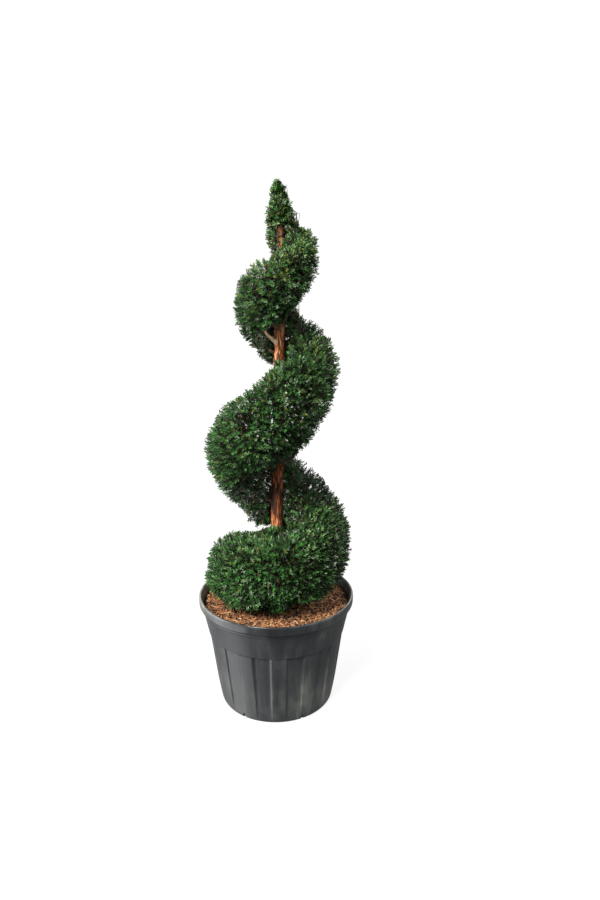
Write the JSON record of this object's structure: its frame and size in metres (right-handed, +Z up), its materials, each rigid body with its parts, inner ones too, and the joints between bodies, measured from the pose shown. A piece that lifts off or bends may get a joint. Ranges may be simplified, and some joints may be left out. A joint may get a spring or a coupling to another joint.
{
  "type": "potted spiral topiary",
  "caption": "Evergreen yew clipped into a rising spiral round a bare straight trunk, standing in a large fluted round nursery pot topped with bark mulch.",
  "frame": {"origin": "centre of the pot's flat underside", "axes": "+Z up along the trunk; -Y is the side the picture shows; the spiral climbs counterclockwise seen from above"},
  "size_m": [0.6849, 0.6853, 2.228],
  "materials": {
    "pot": "charcoal moulded plastic, satin, slightly dusty",
    "growing_medium": "dark peaty compost, hidden under the mulch",
    "bark_mulch": "shredded orange-brown bark, dry and matt",
    "bark": "flaking red-brown bark, matt",
    "needles": "deep green needles with fresh green tips, leathery satin"
  },
  "bodies": {
    "root": {"pot": "pot", "growing_medium": "growing_medium", "bark_mulch": "bark_mulch", "trunk": "bark", "bough_01": "bark", "bough_02": "bark", "bough_03": "bark", "bough_04": "bark", "bough_05": "bark", "bough_06": "bark", "bough_07": "bark", "bough_08": "bark", "bough_09": "bark", "bough_10": "bark", "bough_11": "bark", "bough_12": "bark", "bough_13": "bark", "bough_14": "bark", "foliage_01": "needles", "foliage_02": "needles", "foliage_03": "needles", "foliage_04": "needles", "foliage_05": "needles", "foliage_06": "needles", "foliage_07": "needles", "foliage_08": "needles", "foliage_09": "needles", "foliage_10": "needles", "foliage_11": "needles", "foliage_12": "needles", "foliage_13": "needles", "foliage_14": "needles", "foliage_tip": "needles"}
  },
  "joints": []
}
